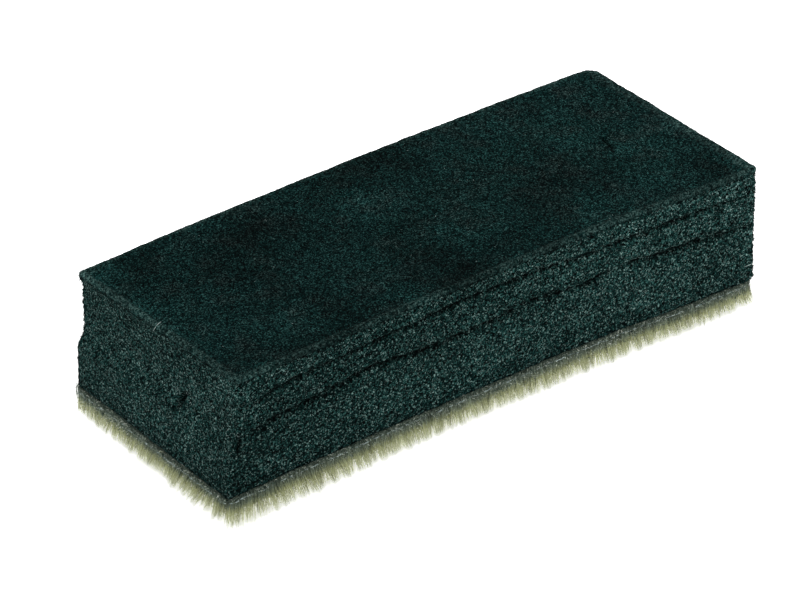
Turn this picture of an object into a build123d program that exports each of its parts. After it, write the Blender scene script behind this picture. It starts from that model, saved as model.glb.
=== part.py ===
from build123d import *
import os

# Chalkboard eraser: a laminated felt block with a wool pile wiping pad under it.
# Millimetres. +X along the length, +Z up. The origin is the middle of the wiping face, at the pile tips.

# Driving dimensions
length = 127.0  # 5 in
width = 50.8  # 2 in
total_height = 31.75  # 1 1/4 in, from the pile tips to the top face

# Layer thicknesses
cover_thickness = 0.9
upper_joint_depth = 5.0  # top face to the middle of the upper glued joint
lower_joint_depth = 11.4  # top face to the middle of the lower glued joint
ply_film_thickness = 0.2
pad_film_thickness = 0.3
backing_thickness = 0.7
pile_height = 5.3

# Outline details
corner_radius = 1.6  # upright corners of the block
cover_edge_radius = 0.5  # pressed rim of the cover
base_edge_radius = 1.2  # worn lower edge of the block
film_inset = 0.6  # the glue in the block stops short of the cut sides
pad_inset = 0.7  # the pad is cut a little smaller than the block
pile_tip_chamfer = 1.5  # the outermost tufts are shorter at their tips

# Heights of the joints, measured up from the pile tips
cover_bottom = total_height - cover_thickness
upper_joint = total_height - upper_joint_depth
lower_joint = total_height - lower_joint_depth
half_film = ply_film_thickness / 2
block_bottom = pile_height + backing_thickness + pad_film_thickness


def draw_outline(inset=0.0):
    """Draw the eraser's rounded outline in the open sketch, drawn in by inset on every side."""
    RectangleRounded(length - 2 * inset, width - 2 * inset, corner_radius)


# Wool pile: the soft wiping layer, with its tips at the bottom
with BuildPart() as wool_pile:
    with BuildSketch(Plane.XY):
        draw_outline(pad_inset)
    extrude(amount=pile_height)
    chamfer(wool_pile.faces().sort_by(Axis.Z)[0].edges(), pile_tip_chamfer)

# Ground cloth that holds the pile
with BuildPart() as pile_backing:
    with BuildSketch(Plane.XY.offset(pile_height)):
        draw_outline(pad_inset)
    extrude(amount=backing_thickness)

# Glue film between the pad and the block
with BuildPart() as pad_bond_film:
    with BuildSketch(Plane.XY.offset(pile_height + backing_thickness)):
        draw_outline(pad_inset)
    extrude(amount=pad_film_thickness)

# Base ply: the thickest felt ply, with a worn lower edge
with BuildPart() as base_felt_ply:
    with BuildSketch(Plane.XY.offset(block_bottom)):
        draw_outline()
    extrude(amount=lower_joint - half_film - block_bottom)
    fillet(base_felt_ply.faces().sort_by(Axis.Z)[0].edges(), base_edge_radius)

# Glue film in the lower joint
with BuildPart() as lower_bond_film:
    with BuildSketch(Plane.XY.offset(lower_joint - half_film)):
        draw_outline(film_inset)
    extrude(amount=ply_film_thickness)

# Middle ply
with BuildPart() as middle_felt_ply:
    with BuildSketch(Plane.XY.offset(lower_joint + half_film)):
        draw_outline()
    extrude(amount=upper_joint - lower_joint - ply_film_thickness)

# Glue film in the upper joint
with BuildPart() as upper_bond_film:
    with BuildSketch(Plane.XY.offset(upper_joint - half_film)):
        draw_outline(film_inset)
    extrude(amount=ply_film_thickness)

# Upper ply
with BuildPart() as upper_felt_ply:
    with BuildSketch(Plane.XY.offset(upper_joint + half_film)):
        draw_outline()
    extrude(amount=cover_bottom - upper_joint - half_film)

# Top cover: the fine felt sheet on the grip side, with a pressed rim
with BuildPart() as top_cover:
    with BuildSketch(Plane.XY.offset(cover_bottom)):
        draw_outline()
    extrude(amount=cover_thickness)
    fillet(top_cover.faces().sort_by(Axis.Z)[-1].edges(), cover_edge_radius)

# Labels and files, one per piece
os.makedirs("parts", exist_ok=True)

wool_pile.part.label = "wool_pile"
pile_backing.part.label = "pile_backing"
pad_bond_film.part.label = "pad_bond_film"
base_felt_ply.part.label = "base_felt_ply"
lower_bond_film.part.label = "lower_bond_film"
middle_felt_ply.part.label = "middle_felt_ply"
upper_bond_film.part.label = "upper_bond_film"
upper_felt_ply.part.label = "upper_felt_ply"
top_cover.part.label = "top_cover"

export_step(wool_pile.part, "parts/wool_pile.step")
export_step(pile_backing.part, "parts/pile_backing.step")
export_step(pad_bond_film.part, "parts/pad_bond_film.step")
export_step(base_felt_ply.part, "parts/base_felt_ply.step")
export_step(lower_bond_film.part, "parts/lower_bond_film.step")
export_step(middle_felt_ply.part, "parts/middle_felt_ply.step")
export_step(upper_bond_film.part, "parts/upper_bond_film.step")
export_step(upper_felt_ply.part, "parts/upper_felt_ply.step")
export_step(top_cover.part, "parts/top_cover.step")
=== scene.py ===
import math

import bpy
import numpy as np
from mathutils import Matrix, Vector, noise


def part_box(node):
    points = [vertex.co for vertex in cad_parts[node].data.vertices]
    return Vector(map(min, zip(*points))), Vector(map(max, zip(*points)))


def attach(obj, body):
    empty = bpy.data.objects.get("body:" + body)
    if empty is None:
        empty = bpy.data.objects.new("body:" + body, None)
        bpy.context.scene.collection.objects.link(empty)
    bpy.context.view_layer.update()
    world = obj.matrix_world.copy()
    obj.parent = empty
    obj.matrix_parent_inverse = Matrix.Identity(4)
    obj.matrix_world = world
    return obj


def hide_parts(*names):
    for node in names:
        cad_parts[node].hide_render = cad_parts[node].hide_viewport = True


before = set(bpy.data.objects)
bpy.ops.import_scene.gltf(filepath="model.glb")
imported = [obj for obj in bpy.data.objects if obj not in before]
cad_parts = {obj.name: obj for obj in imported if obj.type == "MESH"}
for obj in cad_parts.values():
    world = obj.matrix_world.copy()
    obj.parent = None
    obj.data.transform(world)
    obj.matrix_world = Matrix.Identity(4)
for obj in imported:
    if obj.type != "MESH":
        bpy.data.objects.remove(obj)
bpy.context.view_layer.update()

# Chalkboard eraser: a hand-worn block of laminated felt over a wool pile wiping pad.
# Metres. +X along the length, +Y across the width, +Z up, with the pile tips on the floor at z = 0.
# The front is the long side that faces -Y, and the left is the end that faces -X.

MM = 0.001
TAU = 2 * math.pi
TINY = 1e-12  # keeps a vector without length from a division by zero
random = np.random.default_rng(20)

# ---- places, from the frame
cover_low, cover_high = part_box("top_cover")
base_low, base_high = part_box("base_felt_ply")
middle_low, middle_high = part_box("middle_felt_ply")
upper_low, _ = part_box("upper_felt_ply")
pad_film_low, pad_film_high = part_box("pad_bond_film")
cloth_low, cloth_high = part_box("pile_backing")
_, wool_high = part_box("wool_pile")

SIDE_ROOM = 0.35 * MM  # the felt lies this far inside the CAD's long faces, and its nap fills the room
half_length = cover_high[0]
half_width = cover_high[1] - SIDE_ROOM
half_size = np.array([half_length, half_width])
block_bottom = base_low[2]
block_top = cover_high[2]
block_height = block_top - block_bottom
cover_joint = cover_low[2]

# ---- the block's worn form
ARCH = 0.9 * MM  # the block is bowed up in the middle of its length
FOOT_SPREAD = 2.4 * MM  # the left end's foot has spread outward by this much at the front
FOOT_REACH = 16 * MM
LEFT_HOLLOW = 0.9 * MM  # the left end goes in this far under its rim, then out again to its base
LEFT_BASE = 0.65 * MM
RIGHT_SKEW = 0.8 * MM  # the right end's front corner stands out this far
END_REACH = 5 * MM
CORNER_DROOP = 0.65 * MM  # the right end's front corner hangs this much lower
DROOP_REACH = 40 * MM
CORNER_RADII = {(1, -1): 1.6 * MM, (1, 1): 2.6 * MM, (-1, 1): 0.5 * MM, (-1, -1): 1.0 * MM}
CORNER_STEPS = 10
BASE_ROUND = 0.6 * MM
RIM_ROUND = 0.45 * MM
rim_foot = block_top - RIM_ROUND
RIM_SHADOW_DEPTH = 0.8 * MM  # painted shadow: a dark band runs round the sides this far under the top
RIM_WIDTH = 0.9 * MM
RIDGE_INSET = 0.7 * MM  # the pressed rim's ridge runs this far inside the edge
RIDGE_WIDTH = 0.28 * MM
RIDGE_HEIGHT = 0.16 * MM
RIM_FOLLOW = 2 * MM  # the top follows the worn sides within about this far of its rim
JOINT_GAP = 0.02 * MM  # a ply starts this far from the middle of its joint, and the film fills half of that
JOINT_FADE = 7 * MM  # joints close up within this far of the ends

# ---- mesh spacings
COLUMN_STEP = 0.3 * MM
FILM_ROWS = 3
OUTLINE_SAMPLES = 400  # places round the outline at which a ply's height is measured
ROW_STEP = 0.28 * MM
TOP_STEP = 0.42 * MM
RIM_STEP = 0.06 * MM


def lumps(points, size, octaves, seed):
    """Fractal noise, about -1 to 1, whose largest lumps are about size across."""
    start = Vector((seed * 7.31, seed * 3.17, seed * 5.93))
    return np.array([noise.fractal(Vector(p) / size + start, 0.9, 2.1, octaves) for p in points])


def smooth_step(value, low, high):
    """0 below low, 1 above high, and a smooth rise between."""
    share = np.clip((value - low) / (high - low), 0, 1)
    return share * share * (3 - 2 * share)


def hill(value, middle, width):
    """1 at the middle, falling smoothly to nothing on both sides."""
    return np.exp(-(((value - middle) / width) ** 2))


def round_off(distance, radius):
    """How far a rounded edge falls back at a distance from the face it meets."""
    inside = np.clip(radius - distance, 0, radius)
    return radius - np.sqrt(radius**2 - inside**2)


def pits(points, size, seed):
    """Small pits between clumps of fibres, 0 to 1, where shade is painted."""
    return smooth_step(lumps(points, size, 1, seed), 0.08, 0.4)


def unit(vectors):
    """The same directions with length 1."""
    return vectors / (np.linalg.norm(vectors, axis=-1, keepdims=True) + TINY)


def in_space(flat, height=0.0):
    """Flat points or directions in space, at one height or at a height each."""
    return np.column_stack([flat, np.broadcast_to(height, len(flat))])


def along_edge(normal):
    """Flat directions along an edge, square to its outward normals."""
    return np.column_stack([-normal[:, 1], normal[:, 0]])


def grid_points(xs, ys):
    """The flat points of a grid, column by column."""
    return np.stack(np.meshgrid(xs, ys, indexing="ij"), axis=-1).reshape(-1, 2)


class Outline:
    """A rounded rectangle, read by distance along it; it and its radii run anticlockwise from +X -Y."""

    def __init__(self, half, radii):
        arcs = []
        turns = []
        for quarter, (side, radius) in enumerate(radii.items()):
            turn = (quarter - 1 + np.linspace(0, 1, CORNER_STEPS + 1)) * math.pi / 2
            arcs.append(side * (half - radius) + radius * np.column_stack([np.cos(turn), np.sin(turn)]))
            turns.append(turn)
        self.points = np.concatenate([*arcs, arcs[0][:1]])
        self.angles = np.append(np.concatenate(turns), turns[0][0] + TAU)
        steps = np.linalg.norm(np.diff(self.points, axis=0), axis=1)
        self.distances = np.concatenate([[0.0], np.cumsum(steps)])
        self.length = self.distances[-1]

    def at(self, distance):
        """Points and outward normals in the plane, at distances along the outline."""
        distance = np.mod(distance, self.length)
        x = np.interp(distance, self.distances, self.points[:, 0])
        y = np.interp(distance, self.distances, self.points[:, 1])
        angle = np.interp(distance, self.distances, self.angles)
        return np.stack([x, y], axis=1), np.stack([np.cos(angle), np.sin(angle)], axis=1)

    def even(self, count):
        """Distances of points spaced evenly all along the outline."""
        return np.arange(count) * self.length / count

    def anywhere(self, count):
        """Random distances along the outline."""
        return random.uniform(0, self.length, count)


block_outline = Outline(half_size, CORNER_RADII)


def to_front(flat):
    """How far points lie towards the front, from 0 at the back to 1."""
    return np.clip((1 - flat[:, 1] / half_width) / 2, 0, 1)


def arch(flat):
    """How far the bowed block is raised, less the droop of its front right corner."""
    drooping = smooth_step(flat[:, 0], half_length - DROOP_REACH, half_length - DROOP_REACH / 4)
    return ARCH * (1 - (flat[:, 0] / half_length) ** 2) - CORNER_DROOP * drooping * to_front(flat)


def bend(points):
    """Take points of the straight block to the worn one: bowed, hollow at its left end, its foot spread."""
    bent = points.copy()
    down = (block_top - points[:, 2]) / block_height
    front = to_front(points)
    base = smooth_step(down, 0.5, 0.66)
    hollow = smooth_step(down, 0.04, 0.13) - base
    at_left = smooth_step(-points[:, 0], half_length - END_REACH, half_length) * (1 - 0.7 * front)
    at_right = smooth_step(points[:, 0], half_length - END_REACH, half_length) * front
    foot = smooth_step(-points[:, 0], half_length - FOOT_REACH, half_length) * front
    bent[:, 0] += at_left * (LEFT_HOLLOW * hollow - LEFT_BASE * base) + at_right * RIGHT_SKEW
    bent[:, 0] -= FOOT_SPREAD * foot * smooth_step(down, 0.5, 1.0)
    bent[:, 2] += arch(points)
    return bent


# ---- glued joints at the sides
def wavy_joint(middle, waves):
    """A glued joint's height, as a function of points of the outline, from its waves along the front."""

    def joint_height(flat):
        points = in_space(flat, middle)
        front = smooth_step(-flat[:, 1], 0, half_width)
        rise = sum(height * hill(flat[:, 0] / half_length, place, width) for place, width, height in waves)
        slow = lumps(points, 30 * MM, 2, 1) * 0.35 * MM * (1 - front)
        quick = lumps(points, 3.0 * MM, 3, 2) * 0.22 * MM
        return middle + front * rise + slow + quick

    return joint_height


# Waves of a joint: place and width as shares of the half length, and rise
lower_joint = wavy_joint((base_high[2] + middle_low[2]) / 2, [
    (-1.0, 0.12, -1.5 * MM),
    (-0.5, 0.13, 1.4 * MM),
    (0.1, 0.08, 1.2 * MM),
    (0.5, 0.1, 0.8 * MM),
    (1.0, 0.14, -1.2 * MM),
])
upper_joint = wavy_joint((middle_high[2] + upper_low[2]) / 2, [
    (-1.0, 0.15, -1.8 * MM),
    (-0.1, 0.3, 1.1 * MM),
    (0.36, 0.1, -0.4 * MM),
    (1.0, 0.13, -0.8 * MM),
])

# How each joint gapes: its depth and half height, the length of its open stretches, and how low
# their noise may fall before it shuts
JOINTS = [
    {"height": lower_joint, "deep": 0.6 * MM, "half": 0.7 * MM,
     "stretch": 8 * MM, "shut": -1.2, "seed": 11},
    {"height": upper_joint, "deep": 0.5 * MM, "half": 0.55 * MM,
     "stretch": 3.4 * MM, "shut": -0.8, "seed": 14},
]


def gape(joint, flat, normal, height):
    """How far a joint gapes at points of the side, 0 to 1: in ragged stretches of the long sides."""
    seed = joint["seed"]
    along = lumps(in_space(flat, seed * MM), joint["stretch"], 2, seed)
    stretch = smooth_step(along, joint["shut"], joint["shut"] + 0.8)
    ragged = lumps(in_space(flat, height), 1.3 * MM, 3, seed + 1)
    blot = np.clip(0.45 + 0.4 * stretch + 0.8 * ragged, 0.05, 1.3)
    from_end = smooth_step(half_length - np.abs(flat[:, 0]), 0, JOINT_FADE) * np.abs(normal[:, 1])
    near = hill(height, joint["height"](flat), joint["half"] * (0.35 + 0.65 * blot))
    return (0.06 + 0.94 * from_end) * (0.3 + 0.7 * stretch) * np.minimum(blot, 1) * near


def gaping(flat, normal, height):
    """How far either joint gapes at points of the side, 0 to 1."""
    return np.maximum(*(gape(joint, flat, normal, height) for joint in JOINTS))


# Torn places: a slanting gash in the left end, and a nick in its front corner
GASHES = [
    {"x": -half_length, "y": -0.27 * half_width, "z": block_top - 0.52 * block_height,
     "half": 2.9 * MM, "lean": -0.5, "wide": 0.65 * MM, "deep": 2.4 * MM},
    {"x": -half_length, "y": -half_width, "z": block_top - 0.58 * block_height,
     "half": 2.2 * MM, "lean": 0.0, "wide": 0.8 * MM, "deep": 1.3 * MM},
]


def torn(flat, height):
    """How near points of the side are to a torn place, 0 to 1, and how deep it cuts there."""
    near = np.zeros(len(height))
    deep = np.zeros(len(height))
    for gash in GASHES:
        rise = height - gash["z"]
        away = np.hypot(flat[:, 0] - gash["x"], flat[:, 1] - gash["y"] - gash["lean"] * rise)
        here = hill(away, 0, gash["wide"]) * smooth_step(gash["half"] - np.abs(rise), 0, 0.7 * gash["half"])
        near = np.maximum(near, here)
        deep += gash["deep"] * here
    return near, deep


# ---- the sides
def side_push(flat, normal, height):
    """How far the worn felt stands out from the straight side."""
    points = in_space(flat, height)
    corner = 2 * np.abs(normal[:, 0] * normal[:, 1])
    push = lumps(points, 14 * MM, 2, 5) * 0.20 * MM
    push += lumps(points, 2.6 * MM, 2, 6) * 0.16 * MM
    push += lumps(points, 0.8 * MM, 2, 7) * (0.13 + 0.22 * corner) * MM
    push -= round_off(height - block_bottom, BASE_ROUND)
    push -= torn(flat, height)[1]
    for joint in JOINTS:
        push -= joint["deep"] * gape(joint, flat, normal, height)
    return push


def side_point(flat, normal, height):
    """Points on the block's worn side."""
    points = in_space(flat, height)
    points[:, :2] += normal * side_push(flat, normal, height)[:, None]
    return bend(points)


def side_wear_and_lighting(flat, normal, height):
    """How light the side is: patchy and lighter at corners, with painted light that makes it lighter to the
    right, and painted shade at its foot, under the rim, in pits and in tears.
    """
    points = in_space(flat, height)
    patches = 1 + 0.26 * lumps(points, 12 * MM, 3, 51) + 0.15 * lumps(points, 2.5 * MM, 2, 52)
    along = flat[:, 0] / half_length
    # painted light: the side is drawn lighter to the right and dimmer at the left end of the long sides, as
    # if lit more from the right
    lit_from_right = 1 + 0.12 * np.clip(along, -1, 1) - 0.1 * hill(along, -1, 0.6) * np.abs(normal[:, 1])
    corner = 1 + 0.5 * np.abs(normal[:, 0] * normal[:, 1])
    # painted shade: the side is drawn darker towards its foot
    foot = 0.72 + 0.28 * smooth_step(height - block_bottom, 0, 5 * MM)
    # painted shadow in a band just under the rim
    rim_shadow = 1 - 0.6 * hill(block_top - height, RIM_SHADOW_DEPTH, RIM_SHADOW_DEPTH / 2)
    # painted shade in small pits between fibre clumps and in the torn places
    shade_in_hollows = np.maximum(np.sqrt(torn(flat, height)[0]), pits(points, 0.36 * MM, 53))
    return 1.04 * patches * lit_from_right * corner * foot * rim_shadow * (1 - 0.9 * shade_in_hollows)


# ---- the top
# A short cut across the top, near the right end
SLIT = {"x": 0.733 * half_length, "y": -0.01 * half_width, "half": 2.9 * MM, "lean": 0.17,
        "wide": 0.38 * MM, "deep": 0.8 * MM}


def rim_inset(flat):
    """How far points of the top lie in from the outline."""
    inset = np.min(half_size - np.abs(flat), axis=1)
    for side, radius in CORNER_RADII.items():
        beyond = flat * side - (half_size - radius)
        corner = np.all(beyond > 0, axis=1)
        inset[corner] = radius - np.linalg.norm(beyond[corner], axis=1)
    return inset


def outline_normal(flat):
    """Outward normals at points of the outline."""
    core = flat.copy()
    for side, radius in CORNER_RADII.items():
        here = np.all(flat * side >= 0, axis=1)
        core[here] = np.clip(flat[here], radius - half_size, half_size - radius)
    return unit(flat - core)


def slit_share(flat):
    """How near points of the top are to the slit, 0 to 1."""
    ahead = flat[:, 1] - SLIT["y"]
    away = flat[:, 0] - SLIT["x"] - SLIT["lean"] * ahead
    return hill(away, 0, SLIT["wide"]) * smooth_step(SLIT["half"] - np.abs(ahead), 0, 0.5 * SLIT["half"])


def top_height(flat, inset):
    """The height of the cover's top, before the block is bowed: a pressed ridge round a soft field."""
    points = in_space(flat)
    field = smooth_step(inset, 0.3 * RIM_WIDTH, 1.8 * RIM_WIDTH)
    worn = lumps(points, 22 * MM, 2, 21) * 0.16 * MM + lumps(points, 2.5 * MM, 3, 22) * 0.08 * MM
    ridge = RIDGE_HEIGHT * hill(inset, RIDGE_INSET, RIDGE_WIDTH)
    whole = block_top - round_off(inset, RIM_ROUND) + ridge + field * (worn - 0.08 * MM)
    return whole - SLIT["deep"] * slit_share(flat)


def top_point(flat):
    """Points on the cover's worn top, and how much each belongs to its pressed rim."""
    inset = rim_inset(flat)
    outward = unit(np.sign(flat) * np.exp((np.abs(flat) - half_size) / (0.5 * MM)))
    near = inset < 4 * RIM_FOLLOW
    points = in_space(flat, top_height(flat, inset))
    level_rim = np.full(np.count_nonzero(near), rim_foot)
    push = side_push(flat[near], outward[near], level_rim) * np.exp(-inset[near] / RIM_FOLLOW)
    points[near, :2] += outward[near] * push[:, None]
    worn_wide = np.minimum(inset, (half_length - flat[:, 0]) / 2)
    uneven = worn_wide + 0.35 * RIM_WIDTH * lumps(points, 1.2 * MM, 3, 23)
    pressed = 0.65 - 0.65 * smooth_step(uneven, 0.9 * RIM_WIDTH, 1.5 * RIM_WIDTH)
    return bend(points), pressed


def top_wear_and_lighting(flat):
    """How light the top is: blotchy and dark left of the middle, with painted light at its ends and painted
    shade in its pits and slit.
    """
    points = in_space(flat)
    along = flat[:, 0] / half_length
    patches = 1 + 0.52 * lumps(points, 15 * MM, 3, 61) + 0.15 * lumps(points, 3 * MM, 2, 62)
    # painted light: the top is drawn lighter towards its ends, most at the right
    ends = 0.25 * smooth_step(along, 0.5, 1.0) + 0.15 * smooth_step(-along, 0.75, 1.0)
    slope = 0.97 + ends - 0.16 * hill(along, -0.4, 0.35)
    # painted shade in the slit and in small pits
    shade_in_hollows = np.maximum(np.sqrt(slit_share(flat)), 0.7 * pits(points, 0.4 * MM, 63))
    return 1.09 * patches * slope * (1 - 0.9 * shade_in_hollows)


# ---- meshes
def new_object(name, data):
    """An object in the scene, from its data."""
    thing = bpy.data.objects.new(name, data)
    bpy.context.scene.collection.objects.link(thing)
    return thing


def new_piece(name, verts, quads, tris, material, node_slot):
    """A mesh object on the root body, from arrays of points and corner numbers."""
    mesh = bpy.data.meshes.new(name)
    corners = np.concatenate([np.ravel(quads), np.ravel(tris)]).astype(np.int32)
    starts = np.concatenate([np.arange(len(quads)) * 4, len(quads) * 4 + np.arange(len(tris)) * 3])
    mesh.vertices.add(len(verts))
    mesh.vertices.foreach_set("co", np.ravel(verts).astype(np.float32))
    mesh.loops.add(len(corners))
    mesh.loops.foreach_set("vertex_index", corners)
    mesh.polygons.add(len(starts))
    mesh.polygons.foreach_set("loop_start", starts.astype(np.int32))
    mesh.update(calc_edges=True)
    mesh.shade_smooth()
    mesh.materials.append(material)
    piece = new_object(name, mesh)
    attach(piece, "root")
    return piece


def point_values(piece, name, values):
    """Keep one number for each of the piece's points, for its material to read."""
    attribute = piece.data.attributes.new(name, "FLOAT", "POINT")
    attribute.data.foreach_set("value", np.asarray(values, dtype=np.float32))


def band(low, high):
    """Quads between two closed rings of point numbers, facing out when the rings run anticlockwise."""
    return np.column_stack([low, np.roll(low, -1), np.roll(high, -1), high])


def fan(ring, centre, up):
    """Triangles from a ring of point numbers to a centre point."""
    after = np.roll(ring, -1)
    middle = np.full(len(ring), centre)
    if up:
        return np.column_stack([ring, after, middle])
    return np.column_stack([after, ring, middle])


def slab(name, outline, place, lower, upper, rows, material, node_slot):
    """A closed layer, made of rings round the outline from height lower to height upper."""
    columns = round(outline.length / COLUMN_STEP)
    flat, normal = outline.at(outline.even(columns))
    low = lower(flat)
    high = upper(flat)
    heights = [low + share * (high - low) for share in np.linspace(0, 1, rows)]
    where = (np.tile(flat, (rows, 1)), np.tile(normal, (rows, 1)), np.concatenate(heights))
    points = place(*where)
    rings = np.arange(rows * columns).reshape(rows, columns)
    verts = np.concatenate([points, [points[rings[0]].mean(axis=0), points[rings[-1]].mean(axis=0)]])
    quads = np.concatenate([band(rings[row], rings[row + 1]) for row in range(rows - 1)])
    tris = np.concatenate([fan(rings[0], len(points), up=False), fan(rings[-1], len(points) + 1, up=True)])
    piece = new_piece(name, verts, quads, tris, material, node_slot)
    point_values(piece, "wear_and_lighting", np.append(side_wear_and_lighting(*where) * (1 - 0.9 * gaping(*where)), [1.0, 1.0]))
    return piece


def level(height):
    """A height that is the same all round."""
    return lambda flat: np.full(len(flat), height)


# ---- strands
def strands(name, paths, radii, material, node_slot, tone):
    """Closed three-sided strands that follow paths (strand, point, xyz) and end in a point."""
    count, points, _ = paths.shape
    tangent = unit(np.gradient(paths, axis=1))
    across = unit(np.cross(tangent, random.normal(size=(count, 1, 3))))
    other = np.cross(tangent, across)
    turn = np.arange(3) * TAU / 3
    round_way = across[:, :-1, None] * np.cos(turn)[:, None] + other[:, :-1, None] * np.sin(turn)[:, None]
    rings = paths[:, :-1, None] + radii[:, :-1, None, None] * round_way
    verts = np.concatenate([rings.reshape(count, -1, 3), paths[:, -1:]], axis=1)
    each = verts.shape[1]
    first = (np.arange(count) * each)[:, None, None]
    numbers = np.arange(each - 1).reshape(points - 1, 3)
    quads = first + np.concatenate([band(numbers[row], numbers[row + 1]) for row in range(points - 2)])
    tris = first + np.concatenate([fan(numbers[-1], each - 1, up=True), [[2, 1, 0]]])
    corners = (quads.reshape(-1, 4), tris.reshape(-1, 3))
    piece = new_piece(name, verts.reshape(-1, 3), *corners, material, node_slot)
    along = np.append(np.repeat(np.linspace(0, 1, points)[:-1], 3), 1.0)
    point_values(piece, "along", np.tile(along, count))
    point_values(piece, "tone", np.repeat(tone, each))
    return piece


def tapered(count, points, thickness, spread, end):
    """Radii for strands, with a random thickness each, that narrow to a share of it at the end."""
    own = thickness / 2 * (1 + spread * random.uniform(-1, 1, size=(count, 1)))
    return own * np.linspace(1, end, points)[None]


# ---- materials
def colour(red, green, blue):
    """A display colour, 0 to 255 a channel, as the linear colour a shader takes."""
    share = np.array([red, green, blue]) / 255
    linear = np.where(share <= 0.04045, share / 12.92, ((share + 0.055) / 1.055) ** 2.4)
    return (*linear, 1.0)


def fabric_material(name, roughness, specular):
    """A matt fabric shader to which colour and bump are added, and its node tree."""
    material = bpy.data.materials.new(name)
    material.use_nodes = True
    tree = material.node_tree
    shader = tree.nodes["Principled BSDF"]
    shader.inputs["Roughness"].default_value = roughness
    shader.inputs["Specular IOR Level"].default_value = specular
    return material, tree, shader


def object_place(tree):
    """Places in the object's own space."""
    return tree.nodes.new("ShaderNodeTexCoord").outputs["Object"]


def noise_node(tree, size, detail, output="Fac"):
    """3-D noise in object space, with features about size across."""
    texture = tree.nodes.new("ShaderNodeTexNoise")
    texture.inputs["Scale"].default_value = 1 / size
    texture.inputs["Detail"].default_value = detail
    tree.links.new(object_place(tree), texture.inputs["Vector"])
    return texture.outputs[output]


def fleck_node(tree, size):
    """A random number for each small ragged fleck, about size across."""
    ragged = tree.nodes.new("ShaderNodeVectorMath")
    ragged.operation = "MULTIPLY_ADD"
    ragged.inputs[1].default_value = (2 * size, 2 * size, 2 * size)
    tree.links.new(noise_node(tree, 0.8 * size, 2, "Color"), ragged.inputs[0])
    tree.links.new(object_place(tree), ragged.inputs[2])
    cells = tree.nodes.new("ShaderNodeTexVoronoi")
    cells.inputs["Scale"].default_value = 1 / size
    tree.links.new(ragged.outputs["Vector"], cells.inputs["Vector"])
    channels = tree.nodes.new("ShaderNodeSeparateColor")
    tree.links.new(cells.outputs["Color"], channels.inputs["Color"])
    return channels.outputs["Red"]


def ramp_node(tree, value, stops):
    """A colour for each value, from stops of place and colour."""
    ramp = tree.nodes.new("ShaderNodeValToRGB")
    elements = ramp.color_ramp.elements
    for index, (place, shade) in enumerate(stops):
        element = elements[index] if index < 2 else elements.new(place)
        element.position = place
        element.color = shade
    tree.links.new(value, ramp.inputs["Fac"])
    return ramp.outputs["Color"]


def mix_node(tree, way, factor, first, second):
    """A colour mix; factor may be a number or a node's output."""
    mix = tree.nodes.new("ShaderNodeMix")
    mix.data_type = "RGBA"
    mix.blend_type = way
    if isinstance(factor, float):
        mix.inputs["Factor"].default_value = factor
    else:
        tree.links.new(factor, mix.inputs["Factor"])
    tree.links.new(first, mix.inputs["A"])
    tree.links.new(second, mix.inputs["B"])
    return mix.outputs["Result"]


def paint(tree, shader, shade):
    """Give the shader its colour."""
    tree.links.new(shade, shader.inputs["Base Color"])


def bump_node(tree, shader, height, distance, strength):
    """Raise the surface by a height texture."""
    bump = tree.nodes.new("ShaderNodeBump")
    bump.inputs["Distance"].default_value = distance
    bump.inputs["Strength"].default_value = strength
    tree.links.new(height, bump.inputs["Height"])
    tree.links.new(bump.outputs["Normal"], shader.inputs["Normal"])


def attribute_node(tree, name):
    """A number kept on the mesh's points."""
    node = tree.nodes.new("ShaderNodeAttribute")
    node.attribute_name = name
    return node.outputs["Fac"]


def shades(*stops):
    """Stops for a ramp, from rows of a place and a display colour's three channels."""
    return [(place, colour(*channels)) for place, *channels in stops]


WHITE = (1.0, 1.0, 1.0, 1.0)
SIDE_SHADES = shades((0.0, 0, 2, 2), (0.35, 2, 13, 13), (0.65, 13, 41, 39), (0.88, 45, 79, 75),
                     (1.0, 110, 135, 130))
TOP_SHADES = shades((0.0, 0, 2, 2), (0.4, 1, 13, 13), (0.75, 6, 34, 33), (1.0, 42, 76, 73))
# The pressed rim is lighter: partly the pressed felt's own tone, partly a painted highlight along the edge
RIM_SHADES = shades((0.0, 0, 5, 5), (0.5, 10, 30, 29), (1.0, 70, 94, 90))
STRAY_SHADES = shades((0.0, 96, 122, 118), (1.0, 200, 216, 212))
ROOT_SHADES = shades((0.0, 150, 150, 150), (0.7, 255, 255, 255))  # painted shade: felt fibres are darker towards the root, where the nap around them shades them
WOOL_SHADES = shades((0.0, 120, 122, 112), (0.5, 255, 255, 255))
# Wool is grey-green and darker at the root, partly its own colour and partly painted shade under the block,
# then yellow-green and cream, and pale grey at the tip
WOOL_LENGTH_SHADES = shades((0.0, 92, 105, 96), (0.3, 122, 134, 115), (0.55, 195, 199, 153),
                            (0.8, 209, 213, 176), (1.0, 180, 186, 173))
# The fuzz under the block is mostly grey-green, with some pale fibres, each the same all along
FUZZ_SHADES = shades((0.0, 10, 24, 22), (0.45, 73, 92, 83), (0.75, 148, 162, 144), (1.0, 244, 250, 238))
EVEN_SHADES = [(0.0, WHITE), (1.0, WHITE)]
BED_SHADES = shades((0.3, 120, 122, 96), (0.7, 196, 196, 154))
CLOTH_SHADES = shades((0.1, 100, 102, 82), (0.8, 168, 168, 138))
DARK_GLUE_SHADES = shades((0.3, 2, 6, 6), (0.7, 10, 18, 17))
PALE_GLUE_SHADES = shades((0.3, 70, 80, 72), (0.7, 160, 166, 148))
FLOOR_SHADES = [(0.0, (0.93, 0.93, 0.93, 1.0)), (1.0, (0.96, 0.96, 0.96, 1.0))]


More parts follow.
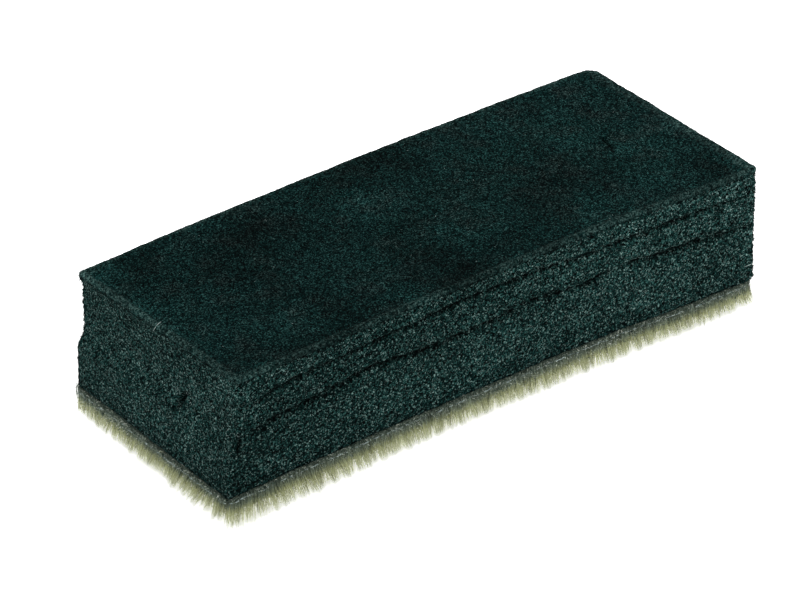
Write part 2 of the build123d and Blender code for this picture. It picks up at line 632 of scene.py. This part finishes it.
def side_felt():
    """Coarse cut felt: light flecks over dark gaps, in slow patches, with the painted light and shade kept
    on its points.
    """
    material, tree, shader = fabric_material("side_felt", 0.95, 0.02)
    flecks = ramp_node(tree, fleck_node(tree, 0.22 * MM), SIDE_SHADES)
    shade = mix_node(tree, "MULTIPLY", 1.0, flecks, attribute_node(tree, "wear_and_lighting"))
    paint(tree, shader, shade)
    bump_node(tree, shader, noise_node(tree, 0.35 * MM, 2), 0.2 * MM, 0.9)
    return material


def cover_felt():
    """Fine suede-like felt, darker than the sides, with a lighter pressed rim that is partly a painted
    highlight, and the painted light and shade kept on its points.
    """
    material, tree, shader = fabric_material("cover_felt", 0.95, 0.02)
    grain = ramp_node(tree, fleck_node(tree, 0.2 * MM), TOP_SHADES)
    dust = ramp_node(tree, noise_node(tree, 6 * MM, 3), [(0.48, WHITE), (0.66, (1.7, 0.96, 0.96, 1.0))])
    field = mix_node(tree, "MULTIPLY", 1.0, grain, dust)
    pressed = ramp_node(tree, fleck_node(tree, 0.24 * MM), RIM_SHADES)
    felt = mix_node(tree, "MIX", attribute_node(tree, "rim"), field, pressed)
    shade = mix_node(tree, "MULTIPLY", 1.0, felt, attribute_node(tree, "wear_and_lighting"))
    paint(tree, shader, shade)
    bump_node(tree, shader, noise_node(tree, 0.4 * MM, 3), 0.1 * MM, 0.7)
    return material


def fibres(name, own_shades, length_shades, roughness=0.9, specular=0.02):
    """Loose fibres, each with its own shade, which changes along its length."""
    material, tree, shader = fabric_material(name, roughness, specular)
    own = ramp_node(tree, attribute_node(tree, "tone"), own_shades)
    length_way = ramp_node(tree, attribute_node(tree, "along"), length_shades)
    shade = mix_node(tree, "MULTIPLY", 1.0, own, length_way)
    paint(tree, shader, shade)
    return material


def wool_bed():
    """The matted wool between the strands."""
    material, tree, shader = fabric_material("wool_bed", 0.95, 0.05)
    paint(tree, shader, ramp_node(tree, noise_node(tree, 0.8 * MM, 4), BED_SHADES))
    bump_node(tree, shader, noise_node(tree, 0.5 * MM, 3), 0.3 * MM, 1.0)
    return material


def backing_cloth():
    """Coarse plain-woven ground cloth, seen only between tufts and at its cut edge."""
    material, tree, shader = fabric_material("backing_cloth", 0.9, 0.05)
    threads = []
    for direction in ("X", "Y"):
        wave = tree.nodes.new("ShaderNodeTexWave")
        wave.bands_direction = direction
        wave.inputs["Scale"].default_value = 1 / (3 * MM)
        wave.inputs["Distortion"].default_value = 1.0
        tree.links.new(object_place(tree), wave.inputs["Vector"])
        threads.append(ramp_node(tree, wave.outputs["Fac"], CLOTH_SHADES))
    shade = mix_node(tree, "LIGHTEN", 1.0, threads[0], threads[1])
    paint(tree, shader, shade)
    bump_node(tree, shader, shade, 0.15 * MM, 0.8)
    return material


def glue(name, stops):
    """Dried adhesive, mottled between two shades."""
    material, tree, shader = fabric_material(name, 0.7, 0.1)
    paint(tree, shader, ramp_node(tree, noise_node(tree, 0.9 * MM, 3), stops))
    bump_node(tree, shader, noise_node(tree, 0.6 * MM, 2), 0.1 * MM, 0.7)
    return material


side_felt_material = side_felt()
cover_felt_material = cover_felt()
side_fibre_material = fibres("side_fibre", SIDE_SHADES, ROOT_SHADES)
cover_fibre_material = fibres("cover_fibre", TOP_SHADES, ROOT_SHADES)
stray_fibre_material = fibres("stray_fibre", STRAY_SHADES, ROOT_SHADES)
wool_fibre_material = fibres("wool_fibre", WOOL_SHADES, WOOL_LENGTH_SHADES, roughness=0.85, specular=0.05)
wool_fuzz_material = fibres("wool_fuzz", FUZZ_SHADES, EVEN_SHADES, roughness=0.85, specular=0.05)
dark_glue_material = glue("dark_glue", DARK_GLUE_SHADES)
pale_glue_material = glue("pale_glue", PALE_GLUE_SHADES)


# ---- felt plies
def ply_heights(lower, upper):
    """How high a ply is at places all round the outline."""
    flat, _ = block_outline.at(block_outline.even(OUTLINE_SAMPLES))
    return upper(flat) - lower(flat)


def felt_ply(node, lower, upper):
    """One ply of the block, whose cut edge rounds in at its open joints."""
    rows = round(ply_heights(lower, upper).max() / ROW_STEP) + 1
    layer = (lower, upper, rows)
    piece = slab(f"{node}_body", block_outline, side_point, *layer, side_felt_material, "block_felt")
    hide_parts(node)


def beside(joint, offset):
    """A height that keeps an offset above a joint."""
    return lambda flat: joint(flat) + offset


felt_ply("base_felt_ply", level(block_bottom), beside(lower_joint, -JOINT_GAP))
felt_ply("middle_felt_ply", beside(lower_joint, JOINT_GAP), beside(upper_joint, -JOINT_GAP))
felt_ply("upper_felt_ply", beside(upper_joint, JOINT_GAP), level(cover_joint))


# ---- top cover
def grid_lines(half):
    """Places of grid lines from -half to half, close together at both rims."""
    insets = [0.0]
    step = RIM_STEP
    while step < TOP_STEP:
        insets.append(insets[-1] + step)
        step *= 1.25
    inner = half - insets[-1]
    rim = half - np.array(insets[:-1])
    return np.concatenate([-rim, np.linspace(-inner, inner, round(2 * inner / TOP_STEP)), rim[::-1]])


def round_corners(flat):
    """Move the points of a sharp-cornered grid so that its corners follow the outline's arcs."""
    rounded = flat.copy()
    for side, radius in CORNER_RADII.items():
        share = (flat * side - (half_size - radius)) / radius
        corner = np.all(share > 0, axis=1)
        squeezed = share * np.sqrt(1 - np.clip(share[:, ::-1], 0, 1) ** 2 / 2)
        rounded[corner] = (side * (half_size - radius + radius * squeezed))[corner]
    return rounded


def make_cover():
    """The thin felt cover: pressed edge, suede-like top and flat underside."""
    xs = grid_lines(half_length)
    ys = grid_lines(half_width)
    flat = round_corners(grid_points(xs, ys))
    numbers = np.arange(len(flat)).reshape(len(xs), len(ys))
    rim = np.concatenate([numbers[:-1, 0], numbers[-1, :-1], numbers[:0:-1, -1], numbers[0, :0:-1]])
    normal = outline_normal(flat[rim])
    verts, pressed = top_point(flat)
    heights = (rim_foot, cover_joint, (cover_joint + rim_foot) / 2)
    rings = [side_point(flat[rim], normal, np.full(len(rim), height)) for height in heights]
    verts[rim] = rings[0]
    wear_and_lighting = top_wear_and_lighting(flat)
    foot = len(flat) + np.arange(len(rim))
    waist = foot + len(rim)
    centre = len(flat) + 2 * len(rim)
    verts = np.concatenate([verts, *rings[1:], rings[1].mean(axis=0, keepdims=True)])
    field = np.stack([numbers[:-1, :-1], numbers[1:, :-1], numbers[1:, 1:], numbers[:-1, 1:]], axis=-1)
    quads = np.concatenate([field.reshape(-1, 4), band(foot, waist), band(waist, rim)])
    under = fan(foot, centre, up=False)
    piece = new_piece("top_cover_body", verts, quads, under, cover_felt_material, "cover_felt")
    half_pressed = np.full(len(rim), 0.5)
    point_values(piece, "rim", np.concatenate([pressed, 0 * half_pressed, half_pressed, [0.0]]))
    point_values(piece, "wear_and_lighting", np.concatenate([wear_and_lighting, wear_and_lighting[rim], wear_and_lighting[rim], [1.0]]))
    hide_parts("top_cover")


make_cover()


# ---- films and ground cloth
def film(node, low, high, material, node_slot, draw_in, ragged):
    """A thin layer with an uneven edge, drawn in from the block's side."""

    def place(flat, normal, height):
        points = side_point(flat, normal, height)
        uneven = lumps(in_space(flat), 1.8 * MM, 3, 31) * ragged
        points[:, :2] -= normal * (draw_in + uneven)[:, None]
        return points

    piece = slab(f"{node}_body", block_outline, place, low, high, FILM_ROWS, material, node_slot)
    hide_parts(node)
    return piece


for node, joint, draw_in in (("upper_bond_film", upper_joint, 1.3 * MM),
                             ("lower_bond_film", lower_joint, 1.6 * MM)):
    film(node, beside(joint, -JOINT_GAP / 2), beside(joint, JOINT_GAP / 2),
         dark_glue_material, "dark_glue", draw_in, ragged=0.2 * MM)
film("pad_bond_film", level(pad_film_low[2]), level(pad_film_high[2]),
     pale_glue_material, "pale_glue", draw_in=0.5 * MM, ragged=0.4 * MM)
cloth = film("pile_backing", level(cloth_low[2]), level(cloth_high[2]),
             backing_cloth(), "backing_cloth", draw_in=0.4 * MM, ragged=0.3 * MM)


# ---- nap on the cut sides
NAP_POINTS = 3
NAP_SINK = 0.08 * MM  # fibres start this far inside the felt
STRAY_THICKNESS = 0.15 * MM


def nap_paths(roots, normals, length, lift, curl):
    """Short bent fibres that leave the felt from roots, more or less raised along the normals."""
    count = len(roots)
    sideways = random.normal(size=(count, 3))
    sideways -= normals * np.sum(sideways * normals, axis=1, keepdims=True)
    heading = unit(unit(sideways) + normals * lift[:, None])
    hook = unit(np.cross(heading, random.normal(size=(count, 3))))
    share = np.linspace(0, 1, NAP_POINTS)[None, :, None]
    reach = length[:, None, None] * share
    bow = (curl * length)[:, None, None] * np.sin(share * math.pi * 0.9)
    settle = -0.25 * length[:, None, None] * share**2 * normals[:, None] * lift[:, None, None]
    start = roots - normals * NAP_SINK
    return start[:, None] + heading[:, None] * reach + hook[:, None] * bow + settle


def upright(count):
    """Directions straight up."""
    return np.tile([0.0, 0.0, 1.0], (count, 1))


def nap(roots, normals, length, lift, thickness, end, curl=(0.1, 0.5)):
    """Paths and radii of fibres at roots; length, lift and curl are ranges to draw from."""
    count = len(roots)
    drawn = (random.uniform(*length, count), random.uniform(*lift, count), random.uniform(*curl, count))
    paths = nap_paths(roots, normals, *drawn)
    return paths, tapered(count, NAP_POINTS, thickness, spread=0.4, end=end)


def fibre_tone(points, size, seed, wear_and_lighting, contrast):
    """A tone for each fibre: flecks of like fibres about size across, darkened or lightened by rubbing and
    by painted light and shade.
    """
    fleck = 0.8 * lumps(points, size, 1, seed) + 0.42 * random.normal(size=len(points))
    return np.clip((0.42 + contrast * fleck) * wear_and_lighting, 0, 1)


SIDES = {"right": (1, 0), "back": (0, 1), "left": (-1, 0), "front": (0, -1)}
SIDE_DENSITY = 8.5 / MM**2
SIDE_NAP = {"length": (0.35 * MM, 0.85 * MM), "lift": (0.1, 0.7), "thickness": 0.08 * MM, "end": 0.35}
BARE_ROUND_TEARS = 0.25  # a power below 1, so that the bare place is wider than the tear


def side_nap(ply, lower, upper):
    """Nap over one ply's cut edge, thin in joints and torn places, as one piece on each side."""
    count = int(block_outline.length * ply_heights(lower, upper).mean() * SIDE_DENSITY)
    flat, normal = block_outline.at(block_outline.anywhere(count))
    low = lower(flat)
    height = low + random.uniform(0.0, 1.0, count) * (upper(flat) - low)
    bare = np.maximum(0.9 * gaping(flat, normal, height), 3 * torn(flat, height)[0] ** BARE_ROUND_TEARS)
    kept = random.uniform(0, 1, count) > bare
    flat, normal, height = flat[kept], normal[kept], height[kept]
    roots = side_point(flat, normal, height)
    paths, radii = nap(roots, in_space(normal), **SIDE_NAP)
    wear_and_lighting = side_wear_and_lighting(flat, normal, height)
    tone = fibre_tone(roots, 0.18 * MM, 71, wear_and_lighting, 1 + 1.1 * np.abs(normal[:, 0]))
    for side, facing in SIDES.items():
        here = normal @ np.array(facing) > math.sqrt(0.5)
        strands(f"nap_{ply}_{side}", paths[here], radii[here], side_fibre_material, "block_felt", tone[here])


side_nap("base", level(block_bottom), lower_joint)
side_nap("middle", lower_joint, upper_joint)
side_nap("upper", upper_joint, level(rim_foot))


# ---- nap on the top
TOP_DENSITY = 6.0 / MM**2
TOP_NAP_PIECES = 3
TOP_NAP = {"length": (0.3 * MM, 0.8 * MM), "lift": (0.05, 0.35), "thickness": 0.065 * MM, "end": 0.3}
RIM_NAP = {"length": (0.2 * MM, 0.5 * MM), "lift": (0.1, 0.6), "thickness": 0.075 * MM, "end": 0.3}
LINT_COUNT = 170
LONG_LINT = 0.04  # the share of the lint that is long


def top_spots(count, margin):
    """Random places on the top, at least about a margin in from the rim."""
    flat = random.uniform(-1, 1, (count, 2)) * half_size
    return flat[rim_inset(flat) > margin * random.uniform(0.4, 1.0, count)]


def top_nap():
    """Very short fibres over the cover's top, lighter on its pressed rim and none in the slit."""
    flat = top_spots(int(4 * half_length * half_width * TOP_DENSITY), 1.7 * RIM_WIDTH)
    flat = flat[random.uniform(0, 1, len(flat)) > 2 * slit_share(flat) ** BARE_ROUND_TEARS]
    count = len(flat)
    roots, pressed = top_point(flat)
    paths, radii = nap(roots, upright(len(flat)), **TOP_NAP)
    contrast = 1.5 - 0.9 * smooth_step(flat[:, 0], -0.6 * half_length, 0.9 * half_length)
    # the pressed rim's fibres are drawn lighter, partly as a painted highlight
    tone = fibre_tone(paths[:, 0], 0.22 * MM, 72, top_wear_and_lighting(flat) + 0.45 * pressed, contrast)
    for part in range(TOP_NAP_PIECES):
        some = slice(part * count // TOP_NAP_PIECES, (part + 1) * count // TOP_NAP_PIECES)
        name = f"nap_cover_{part + 1}"
        strands(name, paths[some], radii[some], cover_fibre_material, "cover_felt", tone[some])


def rim_nap():
    """Short fibres over the rounded rim, lightest on its ridge, where a highlight is painted."""
    count = int(block_outline.length * 2 * RIM_WIDTH * TOP_DENSITY)
    edge, normal = block_outline.at(block_outline.anywhere(count))
    inset = random.uniform(0, 1, count) ** 2 * 1.8 * RIM_WIDTH
    roots, _ = top_point(edge - normal * inset[:, None])
    upward = np.clip(inset / RIM_ROUND, 0, 1)
    normals = unit(in_space(normal * (1 - upward)[:, None], upward + 0.3))
    paths, radii = nap(roots, normals, **RIM_NAP)
    # painted highlight along the ridge, fading towards the right end
    ridge = hill(inset, RIDGE_INSET, RIDGE_WIDTH)
    ridge *= 1 - 0.6 * smooth_step(edge[:, 0], 0, half_length)
    tone = fibre_tone(roots, 0.24 * MM, 73, 0.8 + 1.1 * ridge, 1.0 - 0.5 * ridge)
    strands("nap_rim", paths, radii, side_fibre_material, "cover_felt", tone)


def top_lint():
    """Pale lint caught on the top: many specks and a few longer hairs."""
    flat = top_spots(LINT_COUNT, 2 * RIM_WIDTH)
    count = len(flat)
    long_ones = random.uniform(0, 1, count) < LONG_LINT
    length = np.where(long_ones, random.uniform(0.9, 1.6, count), random.uniform(0.25, 0.5, count)) * MM
    lift = random.uniform(0.1, 0.4, count)
    roots, _ = top_point(flat)
    paths = nap_paths(roots, upright(len(flat)), length, lift, random.uniform(0.1, 0.5, count))
    slimmer = np.where(long_ones, 0.6, 1.0)[:, None]
    radii = slimmer * tapered(count, NAP_POINTS, STRAY_THICKNESS, spread=0.3, end=0.5)
    strands("lint_cover", paths, radii, stray_fibre_material, "cover_felt", random.uniform(0, 0.5, count))


top_nap()
rim_nap()
top_lint()


# ---- torn fibres and stray hairs
def torn_tuft(gash, count, reach):
    """Paths of pulled fibres that stand around a torn place."""
    rise = random.uniform(-0.4, 1.2, count) * gash["half"]
    aside = random.choice([-1, 1], count) * random.uniform(1.8, 4.5, count) * gash["wide"]
    height = gash["z"] + rise
    flat = np.stack([np.full(count, gash["x"]), gash["y"] + gash["lean"] * rise + aside], axis=1)
    flat = np.maximum(flat, -half_size)
    normal = outline_normal(flat)
    roots = side_point(flat, normal, height)
    length = random.uniform(0.5, 1.0, count) * reach
    lift = random.uniform(0.2, 0.5, count)
    return nap_paths(roots, in_space(normal), length, lift, random.uniform(0.2, 0.5, count))


HAIR_POINTS = 8
CORNER_FIBRES = 1500
CORNER_NAP = {"length": (0.3 * MM, 0.75 * MM), "lift": (0.3, 1.0), "curl": (0.0, 0.3),
              "thickness": 0.13 * MM, "end": 0.5}


def curved_hair(points):
    """The path of one long hair from the first of three points to the last, bowed to the middle one."""
    start, middle, end = points
    share = np.linspace(0, 1, HAIR_POINTS)[:, None]
    return bend((1 - share) ** 2 * start + 2 * share * (1 - share) * middle + share**2 * end)


def frayed_corners():
    """Longer fibres that stand out along the block's upright corners."""
    middles = block_outline.distances[np.arange(4) * (CORNER_STEPS + 1) + CORNER_STEPS // 2]
    near = random.choice(middles, CORNER_FIBRES) + random.normal(size=CORNER_FIBRES) * 0.6 * MM
    flat, normal = block_outline.at(near)
    height = random.uniform(block_bottom, rim_foot, CORNER_FIBRES)
    roots = side_point(flat, normal, height)
    paths, radii = nap(roots, in_space(normal), **CORNER_NAP)
    tone = fibre_tone(roots, 0.24 * MM, 71, 0.7 * side_wear_and_lighting(flat, normal, height), 1.0)
    strands("nap_corners", paths, radii, side_fibre_material, "block_felt", tone)


def stray_hairs():
    """A pale hair over the left rim, and one at the foot of the right corner."""
    over_rim = ((-half_length, 0.0, block_top), [(0.9, -0.3, 0.6), (0.2, 0.1, 0.2), (-0.6, 0.3, -1.2)])
    low = block_top - 0.84 * block_height
    at_foot = ((half_length, -half_width, low), [(-2.8, -0.25, 0.0), (-2.0, -0.7, 0.2), (-0.4, -0.3, 0.1)])
    hairs = [curved_hair(np.array(near) + np.array(steps) * MM) for near, steps in (over_rim, at_foot)]
    radii = tapered(len(hairs), HAIR_POINTS, STRAY_THICKNESS, spread=0.3, end=0.3)
    strands("stray_hairs", np.array(hairs), radii, stray_fibre_material, "block_felt", np.ones(len(hairs)))


def torn_fibres():
    """Pale pulled fibres at the torn places."""
    paths = np.concatenate([torn_tuft(GASHES[0], count=16, reach=1.2 * MM),
                            torn_tuft(GASHES[1], count=10, reach=0.9 * MM)])
    radii = tapered(len(paths), NAP_POINTS, STRAY_THICKNESS, spread=0.3, end=0.3)
    tone = random.uniform(0, 0.4, len(paths))
    strands("torn_fibres", paths, radii, stray_fibre_material, "block_felt", tone)


frayed_corners()
torn_fibres()
stray_hairs()


# ---- wool pile
PAD_CORNER = 1.6 * MM
pad_half = np.array(wool_high[:2])
pad_outline = Outline(pad_half, dict.fromkeys(CORNER_RADII, PAD_CORNER))
PILE_POINTS = 6
PILE_PIECES = 10
TUFT_SPREAD = 0.4 * MM  # how far strands stand from the middle of their tuft
TIP_CLEARANCE = 0.06 * MM  # keeps a strand's own thickness off the floor
WOOL_THICKNESS = 0.085 * MM
WOOL_CURL = 0.2 * MM
END_PULL = 0.6 * MM  # the pile is drawn in this far at the right end, and more at its corners
CORNER_PULL = 0.8 * MM
PULL_REACH = 2.2 * MM
FUZZ_COUNT = 19000
FUZZ_NAP = {"length": (0.4 * MM, 0.9 * MM), "lift": (0.4, 1.6), "curl": (0.1, 0.4),
            "thickness": 0.12 * MM, "end": 0.4}
THREAD_COUNT = 700
THREAD_POINTS = 4
THREAD_OUT = 0.95 * MM  # thread ends lie this far outside the foot of the block's side


def pile_paths(roots, tips, curl):
    """Strands from roots to tips that leave the cloth straight down and wave a little."""
    count = len(roots)
    share = np.linspace(0, 1, PILE_POINTS)[None, :, None]
    fall = (tips - roots)[:, None]
    flat_way = fall * np.array([1.0, 1.0, 0.0])
    down_way = fall * np.array([0.0, 0.0, 1.0])
    wave_way = unit(random.normal(size=(count, 1, 3)) * [1.0, 1.0, 0.15])
    phase = random.uniform(0, TAU, (count, 1, 1))
    wave = np.sin(phase + share * random.uniform(2.5, 6.0, (count, 1, 1))) - np.sin(phase)
    return roots[:, None] + down_way * share + flat_way * share**1.6 + wave_way * wave * curl * share**0.5


def tip_height(flat):
    """How high the tips hang: worn round at the pad's edges, more so away from its left end."""
    inset = np.min(pad_half - np.abs(flat), axis=1)
    worn = 0.5 * MM * smooth_step(flat[:, 0], -half_length, -0.4 * half_length)
    uneven = 0.35 * MM * lumps(in_space(flat), 9 * MM, 2, 81)
    return np.clip(worn + uneven + 0.7 * arch(flat) - 0.5 * (inset + PAD_CORNER), 0.03 * MM, 4 * MM)


def tuft_strands(centres, leans, each, root_height, gather, ragged):
    """Roots and tips of strands: each tuft gathers to a point of its own, and some strands are short."""
    tuft = np.repeat(np.arange(len(centres)), each)
    count = len(tuft)
    spot = random.normal(size=(count, 2)) * TUFT_SPREAD
    root_flat = centres[tuft] + spot
    tip_flat = centres[tuft] + leans[tuft] + spot * gather + random.normal(size=(count, 2)) * 0.25 * MM
    tuft_short = np.abs(random.normal(size=len(centres)))[tuft] * ragged
    own_short = random.gamma(0.8, 1.7, count) * ragged
    roots = in_space(root_flat, arch(root_flat) + root_height)
    tips = in_space(tip_flat, tip_height(tip_flat) + tuft_short + own_short)
    return roots, tips


def near_corner(flat, reach):
    """How near points are to a corner of the block, 0 to 1."""
    return hill(np.linalg.norm(half_size - np.abs(flat), axis=1), 0, reach)


def pile_edge(distance):
    """Places and outward normals under the foot of the block's side, drawn in at the right end."""
    flat, normal = block_outline.at(distance)
    foot = side_point(flat, normal, np.full(len(flat), block_bottom + BASE_ROUND))[:, :2]
    corner = near_corner(flat, PULL_REACH) * (flat[:, 0] > 0)
    foot -= np.sign(flat) * corner[:, None] * CORNER_PULL
    foot[:, 0] -= np.clip(normal[:, 0], 0, 1) * END_PULL
    return foot, normal


def border_row(inset, spacing, each, splay):
    """A row of tufts along the foot of the block's side, leaning outward."""
    columns = round(block_outline.length / spacing)
    distance = block_outline.even(columns) + random.uniform(-0.35, 0.35, columns) * spacing
    edge, normal = pile_edge(distance)
    near_left = smooth_step(-edge[:, 0], 0, half_length)
    lean_out = splay * random.uniform(0.5, 1.3, columns) * (1 + near_left * (2.4 * to_front(edge) - 0.9))
    lean_by = random.normal(size=columns) * 0.6 * MM
    outward = unit(normal + 2.5 * np.sign(edge) * near_corner(edge, 4 * MM)[:, None])
    leans = outward * lean_out[:, None] + along_edge(normal) * lean_by[:, None]
    root_height = block_bottom + 0.2 * MM
    return tuft_strands(edge - normal * inset, leans, each, root_height, gather=0.7, ragged=0.32 * MM)


def field_tufts(pitch, each):
    """Tufts all over the pad, inside its border rows."""
    xs, ys = (np.arange(-half + 3 * MM, half - 3 * MM, pitch) for half in pad_half)
    grid = grid_points(xs, ys)
    centres = grid + random.uniform(-0.4, 0.4, grid.shape) * pitch
    leans = random.normal(size=centres.shape) * 0.4 * MM
    return tuft_strands(centres, leans, each, wool_high[2] + 0.15 * MM, gather=0.5, ragged=0.2 * MM)


def make_pile():
    """All the wool strands, split into pieces by where they stand."""
    rows = [
        border_row(inset=0.2 * MM, spacing=0.6 * MM, each=26, splay=1.45 * MM),
        border_row(inset=1.2 * MM, spacing=0.8 * MM, each=20, splay=0.9 * MM),
        border_row(inset=2.8 * MM, spacing=1.5 * MM, each=12, splay=0.2 * MM),
        field_tufts(pitch=1.5 * MM, each=6),
    ]
    roots, tips = (np.concatenate(ends) for ends in zip(*rows))
    paths = pile_paths(roots, tips, WOOL_CURL)
    paths[..., 2] = np.maximum(paths[..., 2], TIP_CLEARANCE)
    radii = tapered(len(roots), PILE_POINTS, WOOL_THICKNESS, spread=0.4, end=0.2)
    tone = random.uniform(0, 1, len(roots))
    piece_number = np.clip((roots[:, 0] / half_length + 1) / 2 * PILE_PIECES, 0, PILE_PIECES - 1).astype(int)
    for number in range(PILE_PIECES):
        here = piece_number == number
        strands(f"wool_pile_{number + 1}", paths[here], radii[here], wool_fibre_material, "wool", tone[here])


def root_fuzz():
    """Short grey-green fibres that stand out of the pile's side just under the block, darker nearer the
    block.
    """
    edge, normal = pile_edge(block_outline.anywhere(FUZZ_COUNT))
    down = random.beta(1.0, 1.8, FUZZ_COUNT)
    height = block_bottom + arch(edge) + (0.25 - 4.2 * down) * MM
    outward = random.uniform(-0.1, 0.5, FUZZ_COUNT)[:, None] * MM
    roots = in_space(edge + normal * outward, height)
    hanging = unit(in_space(normal * 0.4, -1.0))
    paths, radii = nap(roots, hanging, **FUZZ_NAP)
    # darker nearer the block: partly the fuzz's own colour, partly painted shade under the block
    tone = np.clip(random.uniform(0, 0.9, FUZZ_COUNT) + 0.3 * down, 0, 1)
    strands("wool_root_fuzz", paths, radii, wool_fuzz_material, "wool", tone)


def edge_threads():
    """Pale thread ends of the ground cloth that show here and there just under the block."""
    edge, normal = pile_edge(block_outline.anywhere(THREAD_COUNT))
    half = along_edge(normal) * random.uniform(0.1, 0.45, THREAD_COUNT)[:, None] * MM
    height = block_bottom + arch(edge) + random.uniform(-0.2, 0.1, THREAD_COUNT) * MM
    middles = in_space(edge + normal * THREAD_OUT, height)
    share = np.linspace(-1, 1, THREAD_POINTS)[None, :, None]
    paths = middles[:, None] + in_space(half)[:, None] * share
    radii = tapered(THREAD_COUNT, THREAD_POINTS, 0.12 * MM, spread=0.3, end=0.5)
    tone = random.uniform(0.3, 1.0, THREAD_COUNT)
    strands("backing_threads", paths, radii, stray_fibre_material, "backing_cloth", tone)


make_pile()
root_fuzz()
edge_threads()


BED_LIFT = 1.2 * MM  # the matted middle ends this far above the floor
BED_ROWS = 12


def make_wool_bed():
    """The matted middle of the pile that shows between the tufts."""

    def place(flat, normal, height):
        points = in_space(flat, height)
        inset = 2.0 * MM + 0.5 * MM * lumps(points, 1.2 * MM, 2, 41)
        points[:, :2] -= normal * inset[:, None]
        return bend(points)

    layer = (level(BED_LIFT), level(cloth_low[2]), BED_ROWS)
    piece = slab("wool_pile_bed", pad_outline, place, *layer, wool_bed(), "wool")
    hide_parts("wool_pile")


make_wool_bed()


# ---- floor, light and camera
FLOOR_GLOW = 0.75  # the floor is a pale sheet lit a little from below
FLOOR_SIZE = 12.0


def make_floor():
    """A plain pale floor."""
    bpy.ops.mesh.primitive_plane_add(size=FLOOR_SIZE, location=(0, 0, 0))
    floor = bpy.context.object
    floor.name = "floor"
    material, tree, shader = fabric_material("floor_paper", 0.9, 0.1)
    shader.inputs["Emission Color"].default_value = WHITE
    shader.inputs["Emission Strength"].default_value = FLOOR_GLOW
    paint(tree, shader, ramp_node(tree, noise_node(tree, 0.4, 2), FLOOR_SHADES))
    floor.data.materials.append(material)


def area_light(name, place, size, watts):
    """A soft square light that faces the eraser."""
    light = bpy.data.lights.new(name, "AREA")
    light.shape = "SQUARE"
    light.size = size
    light.energy = watts
    lamp = new_object(name, light)
    lamp.location = place
    aim = Vector((0, 0, block_top / 2))
    lamp.rotation_euler = (aim - lamp.location).to_track_quat("-Z", "Y").to_euler()


def make_light():
    """Soft light all round, with a key at the front right, a fill at the left and a weak light behind."""
    world = bpy.data.worlds.new("studio")
    bpy.context.scene.world = world
    world.use_nodes = True
    background = world.node_tree.nodes["Background"]
    background.inputs["Color"].default_value = WHITE
    background.inputs["Strength"].default_value = 1.0
    area_light("key", place=(0.5, -0.8, 0.9), size=0.7, watts=3.0)
    area_light("fill", place=(-0.9, -0.2, 0.6), size=0.8, watts=1.5)
    area_light("back", place=(0.6, 0.7, 0.5), size=0.6, watts=0.8)
    bpy.context.scene.view_settings.view_transform = "Standard"


CAMERA_AZIMUTH = math.radians(-38.41)
CAMERA_ELEVATION = math.radians(31.46)
CAMERA_DISTANCE = 1.3
CAMERA_LENS = 303.98
CAMERA_SENSOR = 36.0
AIM_RIGHT = -4.07 * MM  # the aim, from the middle of the block's top, along the picture's axes
AIM_UP = -15.81 * MM


def make_camera():
    """A long-lens camera at the photograph's angle."""
    tilt = Matrix.Rotation(math.pi / 2 - CAMERA_ELEVATION, 4, "X")
    turn = Matrix.Rotation(CAMERA_AZIMUTH, 4, "Z") @ tilt
    place = Vector((0, 0, block_top)) + turn @ Vector((AIM_RIGHT, AIM_UP, CAMERA_DISTANCE))
    data = bpy.data.cameras.new("camera")
    data.lens = CAMERA_LENS
    data.sensor_width = CAMERA_SENSOR
    data.clip_start = 0.05
    camera = new_object("camera", data)
    camera.matrix_world = Matrix.Translation(place) @ turn
    bpy.context.scene.camera = camera


make_floor()
make_light()
make_camera()
